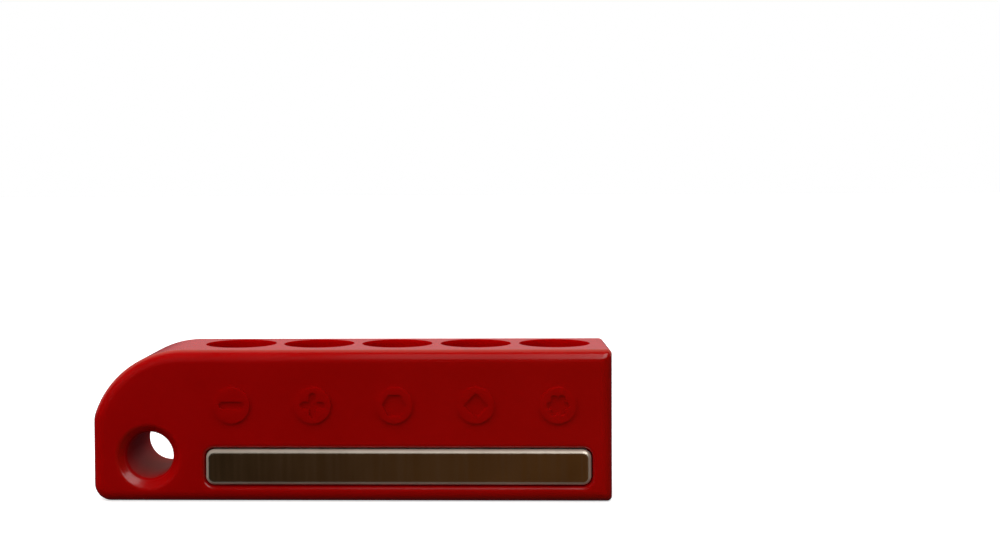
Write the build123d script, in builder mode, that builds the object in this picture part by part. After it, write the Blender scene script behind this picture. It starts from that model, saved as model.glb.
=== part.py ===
"""Magnetic bit holder: a moulded block with five bit sockets and a bar magnet.

Frame: millimetres, +Z up, the origin under the middle of the block.
The front face, with the magnet, looks along -Y. The rounded nose points along -X.
"""

import os
from math import sqrt

from build123d import *

os.makedirs("parts", exist_ok=True)

# ---------------------------------------------------------------- the block
block_length = 54.1
block_height = 15.8
block_depth = 12.3
relief_height = 0.2          # the magnet and the icons stand this far out of the front face
left_side = -block_length / 2
right_side = block_length / 2
front_face = -(block_depth - relief_height) / 2
back_face = front_face + block_depth

nose_radius = 9.75           # the large arc from the top down to the nose's side
nose_centre_x = left_side + 9.36
nose_centre_z = block_height - nose_radius
foot_radius = 1.8            # the corner under the nose
end_radius = 0.5             # the two corners at the plain end
edge_radius = 1.2            # rounding round the front and back faces
brow_radius = 3.0            # softens the angle where the nose arc meets the upright side

# ---------------------------------------------------------------- the magnet
magnet_length = 40.0
magnet_width = 10.0          # how far it reaches into the block
magnet_thickness = 3.7
magnet_corner_radius = 0.9
magnet_edge_radius = 0.5
magnet_x = left_side + 31.9
magnet_z = 3.68
magnet_front = front_face - relief_height

# ---------------------------------------------------------------- its pocket
pocket_gap = 0.12            # play round the magnet
pocket_mouth_radius = 0.45   # the front face rolls over into the pocket
adhesive_thickness = 0.3
pocket_length = magnet_length + 2 * pocket_gap
pocket_height = magnet_thickness + 2 * pocket_gap
pocket_back = magnet_front + magnet_width + adhesive_thickness
pocket_corner_radius = magnet_corner_radius + pocket_gap

# ---------------------------------------------------------------- bit sockets
socket_count = 5
socket_diameter = 7.6
socket_pitch = 8.45
socket_x = magnet_x - 0.35   # the middle socket
socket_y = front_face + 6.5
socket_floor = 0.8           # plastic left between a socket and the magnet's pocket
socket_bottom = magnet_z + pocket_height / 2 + socket_floor

# ---------------------------------------------------------------- screw hole
screw_x = left_side + 5.87
screw_z = 4.75
screw_hole_radius = 2.45
countersink_radius = 3.3
countersink_angle = 90
countersink_rounding = 0.5   # at the mouth
throat_rounding = 0.6        # where the cone meets the hole

# ---------------------------------------------------------------- screw-head icons
icon_radius = 1.9
icon_z = 10.15
icon_x = socket_x
slot_length = 2.6
slot_width = 0.75
hexagon_radius = 1.25        # to a corner
square_side = 1.8
star_radius = 0.8            # the round middle of the six-lobed icon
lobe_radius = 0.36

# The nose arc starts level at the top and meets the straight side a little short of upright.
arc_end_z = nose_centre_z + sqrt(nose_radius**2 - (nose_centre_x - left_side) ** 2)
arc_mid_x = nose_centre_x - nose_radius * sqrt(0.5)
arc_mid_z = nose_centre_z + nose_radius * sqrt(0.5)

# Sketches on this plane are drawn as seen from the front: x to the right, y up.
front_plane = Plane(origin=(0, front_face, 0), x_dir=(1, 0, 0), z_dir=(0, -1, 0))
rear_plane = Plane(origin=(0, back_face, 0), x_dir=(-1, 0, 0), z_dir=(0, 1, 0))


def slot_icon():
    SlotOverall(slot_length, slot_width, mode=Mode.SUBTRACT)


def cross_icon():
    SlotOverall(slot_length, slot_width, mode=Mode.SUBTRACT)
    SlotOverall(slot_length, slot_width, rotation=90, mode=Mode.SUBTRACT)


def hexagon_icon():
    RegularPolygon(hexagon_radius, 6, mode=Mode.SUBTRACT)


def square_icon():
    Rectangle(square_side, square_side, rotation=45, mode=Mode.SUBTRACT)


def star_icon():
    Circle(star_radius, mode=Mode.SUBTRACT)
    with PolarLocations(star_radius, 6):
        Circle(lobe_radius, mode=Mode.SUBTRACT)


# Body: one moulding.
with BuildPart() as body:
    with BuildSketch(front_plane):
        with BuildLine():
            Line((left_side, 0), (right_side, 0))
            Line((right_side, 0), (right_side, block_height))
            Line((right_side, block_height), (nose_centre_x, block_height))
            ThreePointArc(
                (nose_centre_x, block_height),
                (arc_mid_x, arc_mid_z),
                (left_side, arc_end_z),
            )
            Line((left_side, arc_end_z), (left_side, 0))
        make_face()
    extrude(amount=-block_depth)

    depth_edges = body.edges().filter_by(Axis.Y)
    fillet(depth_edges.sort_by_distance((left_side, 0, 0))[0], radius=foot_radius)
    depth_edges = body.edges().filter_by(Axis.Y)
    fillet(depth_edges.sort_by_distance((left_side, 0, arc_end_z))[0], radius=brow_radius)
    fillet(body.edges().filter_by(Axis.Y).group_by(Axis.X)[-1], radius=end_radius)

    faces_along_y = body.faces().sort_by(Axis.Y)
    fillet(faces_along_y[0].edges() + faces_along_y[-1].edges(), radius=edge_radius)

    # Bit sockets: a row of flat-bottomed holes, down from the top.
    with BuildSketch(Plane.XY.offset(block_height)):
        with Locations((socket_x, socket_y)):
            with GridLocations(socket_pitch, 0, socket_count, 1):
                Circle(socket_diameter / 2)
    extrude(amount=-(block_height - socket_bottom), mode=Mode.SUBTRACT)

    # Screw hole: right through, countersunk at the front and at the back.
    for mouth_plane, mouth_x in ((front_plane, screw_x), (rear_plane, -screw_x)):
        with Locations(mouth_plane):
            with Locations((mouth_x, screw_z)):
                CounterSinkHole(
                    screw_hole_radius,
                    countersink_radius,
                    counter_sink_angle=countersink_angle,
                )
    round_edges = body.edges().filter_by(GeomType.CIRCLE)
    mouth_edges = round_edges.filter_by(lambda edge: abs(edge.radius - countersink_radius) < 0.01)
    fillet(mouth_edges, radius=countersink_rounding)
    round_edges = body.edges().filter_by(GeomType.CIRCLE)
    throat_edges = round_edges.filter_by(lambda edge: abs(edge.radius - screw_hole_radius) < 0.01)
    fillet(throat_edges, radius=throat_rounding)

    # Magnet pocket: blind, from the front face.
    with BuildSketch(front_plane):
        with Locations((magnet_x, magnet_z)):
            RectangleRounded(pocket_length, pocket_height, pocket_corner_radius)
    extrude(amount=-(pocket_back - front_face), mode=Mode.SUBTRACT)

    front = body.faces().sort_by(Axis.Y)[0]
    pocket_rim = front.inner_wires().sort_by(SortBy.LENGTH)[-1]
    fillet(pocket_rim.edges(), radius=pocket_mouth_radius)

    # Raised screw-head icons, one under each socket.
    for number, icon in enumerate((slot_icon, cross_icon, hexagon_icon, square_icon, star_icon)):
        place = (icon_x + (number - (socket_count - 1) / 2) * socket_pitch, icon_z)
        with BuildSketch(front_plane):
            with Locations(place):
                Circle(icon_radius)
                icon()
        extrude(amount=relief_height)

body.part.label = "body"
export_step(body.part, "parts/body.step")

# Magnet: a plated bar, its long edges rounded more than the rims of its two narrow faces.
with BuildPart() as bar_magnet:
    with BuildSketch(front_plane.offset(front_face - magnet_front)):
        with Locations((magnet_x, magnet_z)):
            RectangleRounded(magnet_length, magnet_thickness, magnet_corner_radius)
    extrude(amount=-magnet_width)
    faces_along_y = bar_magnet.faces().sort_by(Axis.Y)
    fillet(faces_along_y[0].edges() + faces_along_y[-1].edges(), radius=magnet_edge_radius)
bar_magnet.part.label = "bar_magnet"
export_step(bar_magnet.part, "parts/bar_magnet.step")

# Adhesive: the cured layer between the magnet's back and the end of the pocket.
with BuildPart() as magnet_adhesive:
    with BuildSketch(front_plane.offset(front_face - pocket_back)):
        with Locations((magnet_x, magnet_z)):
            RectangleRounded(pocket_length, pocket_height, pocket_corner_radius)
    extrude(amount=adhesive_thickness)
magnet_adhesive.part.label = "magnet_adhesive"
export_step(magnet_adhesive.part, "parts/magnet_adhesive.step")

for piece in (body, bar_magnet, magnet_adhesive):
    box = piece.part.bounding_box()
    print(piece.part.label, "volume", round(piece.part.volume, 2), "from", box.min, "to", box.max)
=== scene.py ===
# %% [markdown]
# # A magnetic bit holder, finished in Blender
#
# The object is a small block of red moulded plastic. Driver bits stand in five round sockets
# in its top, and a nickel-plated bar magnet sits in its front face. A screw goes through the
# rounded nose and fixes the block to a tool. The shapes are hard, simple and exact, so they
# come from the CAD model as they are. What is made here is what light does to them: the
# finishes, the set, the lamps and the camera.

from math import pi, radians

import bmesh
import bpy
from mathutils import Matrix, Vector


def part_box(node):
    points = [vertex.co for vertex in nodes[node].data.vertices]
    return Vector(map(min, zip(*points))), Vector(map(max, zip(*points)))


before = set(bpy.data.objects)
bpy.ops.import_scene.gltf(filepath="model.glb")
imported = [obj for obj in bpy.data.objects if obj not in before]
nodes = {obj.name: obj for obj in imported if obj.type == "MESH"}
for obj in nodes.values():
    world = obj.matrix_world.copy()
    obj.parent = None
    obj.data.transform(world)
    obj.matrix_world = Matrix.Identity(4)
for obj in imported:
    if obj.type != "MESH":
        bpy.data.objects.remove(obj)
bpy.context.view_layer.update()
for name in sorted(nodes):
    low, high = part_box(name)
    size_mm = [round((b - a) * 1000, 2) for a, b in zip(low, high)]
    print(name, "measures", size_mm, "mm")

# %% [markdown]
# ## The camera
#
# The block is seen almost square on, through a normal lens from some 14 cm away. The camera
# stands a little above the block and a little to the right of its middle. That is why the top
# shows as a thin sliver, and why daylight shows through the upper right of the screw hole. The
# block sits off centre in the frame, which a lens shift does without turning the camera.
# Turning it would make the upright edges lean.

# %% Place the camera
MM = 0.001
CAMERA_RIGHT = 13.13 * MM
CAMERA_DISTANCE = 140.8 * MM  # from the front face
CAMERA_HEIGHT = 33.2 * MM
CAMERA_TURN = (90 - 1.70, 0.28, 1.61)  # degrees about X, Y and Z
LENS = 49.39
LENS_SHIFT = (0.0618, -0.0489)
SENSOR = 36.0

camera_data = bpy.data.cameras.new("camera")
camera = bpy.data.objects.new("camera", camera_data)
bpy.context.scene.collection.objects.link(camera)
bpy.context.scene.camera = camera

front_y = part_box("body")[0].y
camera.location = (CAMERA_RIGHT, front_y - CAMERA_DISTANCE, CAMERA_HEIGHT)
camera.rotation_euler = [radians(angle) for angle in CAMERA_TURN]
camera_data.sensor_width = SENSOR
camera_data.lens = LENS
camera_data.shift_x, camera_data.shift_y = LENS_SHIFT
camera_data.clip_start = 5 * MM
camera_data.clip_end = 20.0
print("camera", [round(x / MM, 1) for x in camera.location], "mm, lens", round(camera_data.lens, 2))

# %% [markdown]
# ## Helpers for materials
#
# Each finish is a Principled shader fed by a few texture nodes. A helper that adds a node,
# sets its values and names its links keeps every finish to a few readable lines. All the
# patterns are placed in Object coordinates. The pieces stand at the origin, so those
# coordinates are metres on the real object.


# %% Define the material helpers
def feed(tree, node, inputs):
    """Each named input of the node gets a link from a socket, or a value of its own."""
    for name, source in inputs.items():
        if hasattr(source, "is_output"):
            tree.links.new(source, node.inputs[name])
        else:
            node.inputs[name].default_value = source


def add_node(tree, kind, inputs=None, **values):
    """A node of that kind; inputs are fed, and values set its own properties."""
    node = tree.nodes.new(kind)
    for key, value in values.items():
        setattr(node, key, value)
    feed(tree, node, inputs or {})
    return node


def new_material(name):
    """An empty node material with a Principled shader already joined to its output."""
    material = bpy.data.materials.new(name)
    material.use_nodes = True
    tree = material.node_tree
    tree.nodes.clear()
    shader = add_node(tree, "ShaderNodeBsdfPrincipled")
    add_node(tree, "ShaderNodeOutputMaterial", {"Surface": shader.outputs["BSDF"]})
    return material, tree, shader


def object_coordinates(tree, scale=(1, 1, 1)):
    """Object coordinates, stretched along each axis by scale."""
    place = add_node(tree, "ShaderNodeTexCoord").outputs["Object"]
    mapping = add_node(tree, "ShaderNodeMapping", {"Vector": place, "Scale": scale})
    return mapping.outputs["Vector"]


def noise(tree, vector, scale, detail=2.0):
    """A noise pattern's factor, with scale in cells per metre."""
    inputs = {"Vector": vector, "Scale": scale, "Detail": detail, "Roughness": 0.5}
    return add_node(tree, "ShaderNodeTexNoise", inputs).outputs["Fac"]


def ranged(tree, value, low, high, start=0.35, end=0.65):
    """value, spread so that start to end becomes low to high."""
    inputs = {"Value": value, "From Min": start, "From Max": end, "To Min": low, "To Max": high}
    return add_node(tree, "ShaderNodeMapRange", inputs).outputs["Result"]


def blended(tree, factor, first, second):
    """A colour between two others, each linked or given as linear red, green and blue."""
    first, second = (c if hasattr(c, "is_output") else (*c, 1) for c in (first, second))
    inputs = {"Factor": factor, "A": first, "B": second}
    return add_node(tree, "ShaderNodeMix", inputs, data_type="RGBA").outputs["Result"]


def bumped(tree, height, distance, strength):
    """A normal roughened by height."""
    inputs = {"Height": height, "Distance": distance, "Strength": strength}
    return add_node(tree, "ShaderNodeBump", inputs).outputs["Normal"]


def vector_step(tree, operation, first, second=(0, 0, 0)):
    """One vector operation; second is a vector of numbers."""
    node = add_node(tree, "ShaderNodeVectorMath", {0: first, 1: second}, operation=operation)
    return node.outputs["Vector"]


def vector_length(tree, vector):
    """How long a vector is."""
    node = add_node(tree, "ShaderNodeVectorMath", {0: vector}, operation="LENGTH")
    return node.outputs["Value"]


def finish_with(node_name, material):
    """The CAD node takes this material in every slot it has."""
    mesh = nodes[node_name].data
    for index in range(max(1, len(mesh.materials))):
        if index < len(mesh.materials):
            mesh.materials[index] = material
        else:
            mesh.materials.append(material)
    print(node_name, "now wears", material.name)


# %% [markdown]
# ## The red plastic
#
# The block is glossy ABS out of a polished mould. Its colour is deep and even, because the
# pigment is mixed right through, and varies by only a few percent. Red light gets a few
# millimetres into such a plastic, so its edges and small details look soft. What tells the eye
# that it is moulded is small: the gloss varies in soft patches where the melt cooled, and the
# surface has a very fine orange peel. The screw hole is duller than the outside, because the
# pin that makes it drags along its wall when it is drawn. The hole is found by the distance
# from its axis.

# %% Mix the red plastic
SCREW_HOLE = Vector((-21.18, 0, 4.75)) * MM
SCREW_HOLE_RADIUS = 2.45 * MM
DULL_UP_TO = SCREW_HOLE_RADIUS + 0.05 * MM
GLOSSY_FROM = SCREW_HOLE_RADIUS + 0.30 * MM
LIGHT_DEPTH = (3 * MM, 0.2 * MM, 0.2 * MM)  # how far red, green and blue light get in

red_plastic, tree, shader = new_material("red_moulded_plastic")
coordinates = object_coordinates(tree)
from_axis = vector_step(tree, "SUBTRACT", coordinates, SCREW_HOLE)
across_axis = vector_length(tree, vector_step(tree, "MULTIPLY", from_axis, (1, 0, 1)))
outside_hole = ranged(tree, across_axis, 0, 1, start=DULL_UP_TO, end=GLOSSY_FROM)
flow = noise(tree, coordinates, 90, detail=3)
gloss = ranged(tree, flow, 0.14, 0.20)
drawn = add_node(tree, "ShaderNodeMix", {"Factor": outside_hole, "A": 0.5, "B": gloss})
peel = noise(tree, coordinates, 1500)
plastic_inputs = {
    "Base Color": blended(
        tree, ranged(tree, flow, 0, 1), (0.40, 0.0003, 0.0006), (0.43, 0.0004, 0.0008)
    ),
    "Roughness": drawn.outputs["Result"],
    "Specular IOR Level": ranged(tree, outside_hole, 0.15, 0.5, start=0, end=1),
    "IOR": 1.5,
    "Subsurface Weight": 0.5,
    "Subsurface Radius": LIGHT_DEPTH,
    "Subsurface Scale": 1.0,
    "Normal": bumped(tree, peel, 0.01 * MM, 0.25),
}
feed(tree, shader, plastic_inputs)
finish_with("body", red_plastic)

# %% [markdown]
# ## The nickel plate
#
# The magnet is a pressed and ground bar with bright nickel plating. Its flat side mirrors the
# dark room, and keeps the fine upright lines of the grinding. The bars were tumbled before
# they were plated, so the rounded rim is matt and scatters the light from overhead. The rim
# is found by its distance from the bar's outline, measured inwards.

# %% Mix the nickel plate
BAR_CORNER = 0.9 * MM
RIM_WIDTH = 0.42 * MM
RIM_START = BAR_CORNER - RIM_WIDTH
RIM_END = BAR_CORNER - 0.6 * RIM_WIDTH

nickel_plate, tree, shader = new_material("nickel_plate")
low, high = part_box("bar_magnet")
centre = (Vector(low) + Vector(high)) / 2
straight = (Vector(high) - Vector(low)) / 2 - Vector((BAR_CORNER, 0, BAR_CORNER))

place = object_coordinates(tree)
from_centre = vector_step(tree, "SUBTRACT", place, centre)
upright = vector_step(tree, "MULTIPLY", from_centre, (1, 0, 1))
one_corner = vector_step(tree, "ABSOLUTE", upright)
past_straight = vector_step(tree, "SUBTRACT", one_corner, (straight.x, 0, straight.z))
past_straight = vector_step(tree, "MAXIMUM", past_straight)
rim = ranged(tree, vector_length(tree, past_straight), 0, 1, start=RIM_START, end=RIM_END)

grain = noise(tree, object_coordinates(tree, (1, 1, 0.03)), 2600, detail=3)
cloud = noise(tree, place, 160)
plate_inputs = {
    "Base Color": blended(tree, ranged(tree, cloud, 0, 1), (0.60, 0.52, 0.42), (0.70, 0.62, 0.52)),
    "Metallic": ranged(tree, rim, 1.0, 0.45, start=0, end=1),
    "Roughness": ranged(tree, grain, 0.16, 0.26),
    "Normal": bumped(tree, grain, 0.004 * MM, 0.3),
}
feed(tree, shader, plate_inputs)
finish_with("bar_magnet", nickel_plate)

# %% [markdown]
# ## The cured adhesive
#
# A thin layer of epoxy holds the magnet at the back of its pocket. Nothing of it shows from
# outside, but a reader who hides the body finds it: slightly yellow, cloudy, not quite flat
# in its gloss.

# %% Mix the adhesive
cured_adhesive, tree, shader = new_material("cured_adhesive")
haze = noise(tree, object_coordinates(tree), 400, detail=4)
adhesive_inputs = {
    "Base Color": blended(tree, ranged(tree, haze, 0, 1), (0.62, 0.52, 0.30), (0.74, 0.66, 0.44)),
    "Roughness": ranged(tree, haze, 0.25, 0.5),
}
feed(tree, shader, adhesive_inputs)
finish_with("magnet_adhesive", cured_adhesive)

# %% [markdown]
# ## The floor
#
# The block stands on a plain white sheet that is far larger than the view. A plane from
# bmesh is enough. It is left out of mirror rays and of bounced light, so the block's lower
# half stays as dark as in a room where nothing pale lies in front of it. The sheet glows a
# little of its own, as a sheet lit from beneath does, so it stays white right up to the block.

# %% Lay the floor
FLOOR_SIZE = 6.0
FLOOR_GLOW = 0.55

floor_mesh = bpy.data.meshes.new("floor")
sheet = bmesh.new()
bmesh.ops.create_grid(sheet, x_segments=1, y_segments=1, size=FLOOR_SIZE / 2)
sheet.to_mesh(floor_mesh)
sheet.free()
floor = bpy.data.objects.new("floor", floor_mesh)
bpy.context.scene.collection.objects.link(floor)
floor.visible_glossy = False
floor.visible_diffuse = False

white_sheet, tree, shader = new_material("white_sheet")
sheet_inputs = {
    "Base Color": (0.9, 0.9, 0.9, 1),
    "Roughness": 0.9,
    "Specular IOR Level": 0.0,
    "Emission Color": (1, 1, 1, 1),
    "Emission Strength": FLOOR_GLOW,
}
feed(tree, shader, sheet_inputs)
floor_mesh.materials.append(white_sheet)
print("floor is", FLOOR_SIZE, "m across")

# %% [markdown]
# ## The room
#
# The camera sees plain white all round. A glossy surface sees something else: a rosy wall low
# down behind the block, which washes the top face at its grazing angle, a paler wall above it,
# and a dark, warm room on the camera's side, which the magnet mirrors. Matt shading gets an
# even, weak fill. The world shader picks one of the three by the kind of ray.

# %% Build the room
FILL_STRENGTH = 0.04

world = bpy.data.worlds.new("room")
bpy.context.scene.world = world
world.use_nodes = True
tree = world.node_tree
tree.nodes.clear()
rays = add_node(tree, "ShaderNodeLightPath")
direction = add_node(tree, "ShaderNodeTexCoord").outputs["Generated"]
parts = add_node(tree, "ShaderNodeSeparateXYZ", {"Vector": direction})

rightward = ranged(tree, parts.outputs["X"], 0, 1, start=-0.20, end=0.10)
backward = ranged(tree, parts.outputs["Y"], 0, 1, start=0.05, end=0.35)
above_horizon = ranged(tree, parts.outputs["Z"], 0, 1, start=-0.05, end=0.10)
above_wall = ranged(tree, parts.outputs["Z"], 0, 1, start=0.15, end=0.45)
front_room = blended(tree, rightward, (0.022, 0.015, 0.008), (0.085, 0.036, 0.009))
low_wall = blended(tree, above_horizon, (0.04, 0.03, 0.04), (0.74, 0.29, 0.30))
back_room = blended(tree, above_wall, low_wall, (0.55, 0.54, 0.42))
mirrored_room = blended(tree, backward, front_room, back_room)


def background(colour, strength=1.0):
    """A background shader of that colour."""
    inputs = {"Color": colour, "Strength": strength}
    return add_node(tree, "ShaderNodeBackground", inputs).outputs[0]


def chosen(ray_kind, otherwise, for_that_kind):
    """One shader for that kind of ray, and another for the rest."""
    inputs = {0: rays.outputs[ray_kind], 1: otherwise, 2: for_that_kind}
    return add_node(tree, "ShaderNodeMixShader", inputs).outputs[0]


WHITE = (1, 1, 1, 1)
for_glossy = chosen("Is Glossy Ray", background(WHITE, FILL_STRENGTH), background(mirrored_room))
for_camera = chosen("Is Camera Ray", for_glossy, background(WHITE))
add_node(tree, "ShaderNodeOutputWorld", {"Surface": for_camera})
print("room has a fill of", FILL_STRENGTH)

# %% [markdown]
# ## The lamps
#
# The matt shading comes from a very wide, soft source overhead. It is a sun lamp, because a
# sun lights the sheet evenly out to its edge. It leans towards the camera's side, so that the
# front isn't left dark, and a weaker one behind keeps the back from going black. The
# highlights come from two softboxes side by side, high in front on the right, which only
# glossy surfaces see. The dim one draws the soft line along the rounded top edge, fading out
# towards the nose. The bright one leaves a fan of light in the countersink.

# %% Hang the lamps
SKY_ANGLE = radians(105)
BOX_Y = -0.28
BOX_Z = 0.36
BOX_HEIGHT = 0.42


def hang(name, data, towards):
    """A lamp of that data, shining along towards."""
    lamp = bpy.data.objects.new(name, data)
    lamp.rotation_euler = Vector(towards).to_track_quat("-Z", "Y").to_euler()
    bpy.context.scene.collection.objects.link(lamp)
    print(name, "has a strength of", round(data.energy, 2))
    return lamp


def softbox(name, x, width, radiance):
    """A rectangular lamp facing the block's axis, which only glossy surfaces see."""
    data = bpy.data.lights.new(name, "AREA")
    data.shape = "RECTANGLE"
    data.size, data.size_y = width, BOX_HEIGHT
    data.energy = radiance * pi * width * BOX_HEIGHT
    lamp = hang(name, data, (0, -BOX_Y, -BOX_Z))
    lamp.location = (x, BOX_Y, BOX_Z)
    lamp.visible_diffuse = False


def wide_light(name, towards, energy):
    """A very wide, soft sun lamp for matt shading, which glossy surfaces don't mirror."""
    data = bpy.data.lights.new(name, "SUN")
    data.energy = energy
    data.angle = SKY_ANGLE
    hang(name, data, towards).visible_glossy = False


wide_light("main_sky", (0.28, 0.53, -1.0), 3.1)
wide_light("back_sky", (-0.10, -0.80, -0.60), 1.2)
softbox("dim_box", 0.014, 0.113, 0.45)
softbox("bright_box", 0.29, 0.44, 2.6)

# %% [markdown]
# ## Colour
#
# The Standard view keeps the deep red as it is mixed.

# %% Finish
bpy.context.scene.view_settings.view_transform = "Standard"
